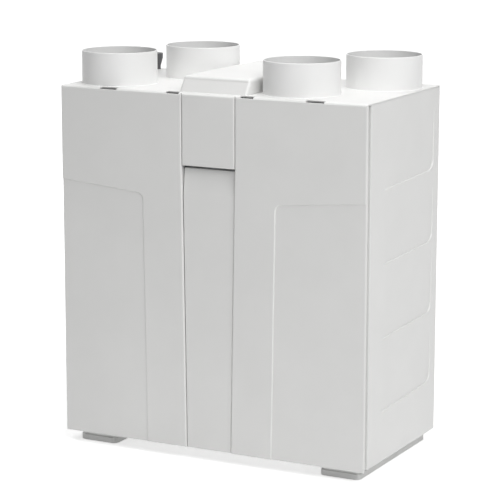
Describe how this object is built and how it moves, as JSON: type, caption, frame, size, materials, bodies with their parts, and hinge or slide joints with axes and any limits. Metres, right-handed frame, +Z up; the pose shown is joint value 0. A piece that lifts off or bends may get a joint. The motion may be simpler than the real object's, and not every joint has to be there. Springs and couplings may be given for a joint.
{
  "type": "heat recovery unit",
  "caption": "White upright heat recovery ventilation cabinet with round duct spigots on top, a hinged filter cover strip, and plate exchanger, fans and filters inside.",
  "frame": {"origin": "on the floor, under the middle of the cabinet's footprint", "axes": "+X to the right seen from the front, -Y towards the front, +Z up"},
  "size_m": [0.7, 0.37, 0.837],
  "materials": {
    "white_panel": "satin white powder coat",
    "white_plastic": "fine-grained satin white moulding",
    "grey_plastic": "dark grey moulding",
    "foot_plastic": "light grey moulding",
    "zinc_sheet": "galvanised sheet",
    "steel": "bare steel",
    "foam": "moulded bead foam",
    "rubber": "black sealing foam",
    "filter_card": "stiff card",
    "filter_fleece": "pleated fleece",
    "exchanger_plastic": "thin formed plates",
    "fan_plastic": "black glass-filled moulding",
    "board_green": "circuit board"
  },
  "bodies": {
    "cabinet": {"right_foot_rail": "foot_plastic", "left_foot_rail": "foot_plastic", "base_panel": "white_panel", "base_liner": "foam", "right_side_panel": "white_panel", "left_side_panel": "white_panel", "rear_panel": "white_panel", "right_liner": "foam", "left_liner": "foam", "rear_liner": "foam", "top_cover": "white_panel", "front_left_spigot": "white_plastic", "rear_left_spigot": "white_plastic", "front_right_spigot": "white_plastic", "rear_right_spigot": "white_plastic", "connection_housing": "white_panel", "cable_gland": "grey_plastic", "right_front_panel": "white_panel", "left_front_panel": "white_panel", "upper_centre_panel": "white_panel", "right_hinge_pin": "steel", "left_hinge_pin": "steel", "inner_front_plate": "zinc_sheet", "front_gasket": "rubber", "cover_catch": "grey_plastic", "left_duct_block": "foam", "right_duct_block": "foam", "electronics_box": "zinc_sheet", "control_board": "board_green", "heat_exchanger": "exchanger_plastic", "exchanger_front_frame": "fan_plastic", "exchanger_rear_frame": "fan_plastic", "condensate_tray": "grey_plastic", "drain_spout": "grey_plastic", "left_chamber_wall": "zinc_sheet", "right_chamber_wall": "zinc_sheet", "left_chamber_floor": "zinc_sheet", "right_chamber_floor": "zinc_sheet", "centre_partition": "zinc_sheet", "extract_filter_frame": "filter_card", "supply_filter_frame": "filter_card", "extract_filter_media": "filter_fleece", "supply_filter_media": "filter_fleece", "left_fan_housing": "fan_plastic", "right_fan_housing": "fan_plastic", "left_inlet_ring": "fan_plastic", "right_inlet_ring": "fan_plastic", "left_motor": "steel", "right_motor": "steel", "bypass_bearing": "grey_plastic", "bypass_actuator": "grey_plastic"},
    "filter_cover": {"filter_cover": "white_panel"},
    "left_impeller": {"left_impeller": "fan_plastic"},
    "right_impeller": {"right_impeller": "fan_plastic"},
    "bypass_flap": {"bypass_flap": "white_plastic"}
  },
  "joints": [
    {"name": "filter_cover_hinge", "type": "hinge", "parent": "cabinet", "child": "filter_cover", "pos_m": [0, -0.17642, 0.034], "axis": [1, 0, 0], "range_deg": [0, 80]},
    {"name": "left_fan_spin", "type": "hinge", "parent": "cabinet", "child": "left_impeller", "pos_m": [-0.262, -0.005, 0.5669], "axis": [1, 0, 0], "continuous": true},
    {"name": "right_fan_spin", "type": "hinge", "parent": "cabinet", "child": "right_impeller", "pos_m": [0.262, 0.005, 0.5669], "axis": [1, 0, 0], "continuous": true},
    {"name": "bypass_flap_hinge", "type": "hinge", "parent": "cabinet", "child": "bypass_flap", "pos_m": [0.1853, 0, 0.3519], "axis": [0, -1, 0], "range_deg": [0, 80]}
  ]
}
